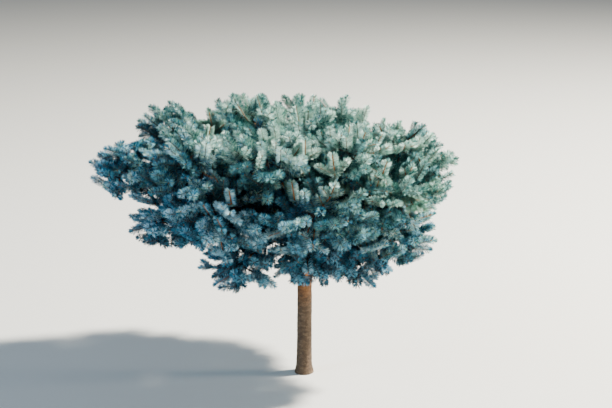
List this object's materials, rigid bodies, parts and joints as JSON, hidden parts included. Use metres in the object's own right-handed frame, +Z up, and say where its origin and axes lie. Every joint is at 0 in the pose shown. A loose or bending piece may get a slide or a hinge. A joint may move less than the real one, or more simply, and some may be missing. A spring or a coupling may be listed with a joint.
{
  "type": "blue spruce tree",
  "caption": "Dwarf blue spruce grafted on a short bare stem, with a low, wide dome of stiff silver-blue needle sprays, standing rooted in level ground.",
  "frame": {"origin": "middle of the flat cut under the trunk, at ground level", "axes": "+Z up along the trunk, -Y towards the side seen in the picture, +X to that side's right"},
  "size_m": [1.0298, 0.9028, 0.8436],
  "materials": {
    "trunk_bark": "rough grey-brown bark",
    "bough_bark": "orange-brown young bark",
    "crest_needles": "waxy silver-blue needles",
    "shoulder_needles": "waxy silver-blue needles",
    "belt_needles": "waxy blue needles",
    "skirt_needles": "waxy steel-blue needles"
  },
  "bodies": {
    "root": {"trunk": "trunk_bark", "belt_bough_1": "bough_bark", "belt_bough_2": "bough_bark", "belt_bough_3": "bough_bark", "belt_bough_4": "bough_bark", "belt_bough_5": "bough_bark", "belt_bough_6": "bough_bark", "belt_bough_7": "bough_bark", "belt_bough_8": "bough_bark", "crest_bough_1": "bough_bark", "crest_bough_2": "bough_bark", "crest_bough_3": "bough_bark", "crest_bough_4": "bough_bark", "crest_bough_5": "bough_bark", "shoulder_bough_1": "bough_bark", "shoulder_bough_2": "bough_bark", "shoulder_bough_3": "bough_bark", "shoulder_bough_4": "bough_bark", "shoulder_bough_5": "bough_bark", "shoulder_bough_6": "bough_bark", "shoulder_bough_7": "bough_bark", "skirt_bough_1": "bough_bark", "skirt_bough_2": "bough_bark", "skirt_bough_3": "bough_bark", "skirt_bough_4": "bough_bark", "skirt_bough_5": "bough_bark", "skirt_bough_6": "bough_bark", "skirt_bough_7": "bough_bark", "skirt_bough_8": "bough_bark", "belt_needles_1": "belt_needles", "belt_needles_2": "belt_needles", "belt_needles_3": "belt_needles", "belt_needles_4": "belt_needles", "belt_needles_5": "belt_needles", "belt_needles_6": "belt_needles", "belt_needles_7": "belt_needles", "belt_needles_8": "belt_needles", "crest_needles_1": "crest_needles", "crest_needles_2": "crest_needles", "crest_needles_3": "crest_needles", "crest_needles_4": "crest_needles", "crest_needles_5": "crest_needles", "shoulder_needles_1": "shoulder_needles", "shoulder_needles_2": "shoulder_needles", "shoulder_needles_3": "shoulder_needles", "shoulder_needles_4": "shoulder_needles", "shoulder_needles_5": "shoulder_needles", "shoulder_needles_6": "shoulder_needles", "shoulder_needles_7": "shoulder_needles", "skirt_needles_1": "skirt_needles", "skirt_needles_2": "skirt_needles", "skirt_needles_3": "skirt_needles", "skirt_needles_4": "skirt_needles", "skirt_needles_5": "skirt_needles", "skirt_needles_6": "skirt_needles", "skirt_needles_7": "skirt_needles", "skirt_needles_8": "skirt_needles"}
  },
  "joints": []
}
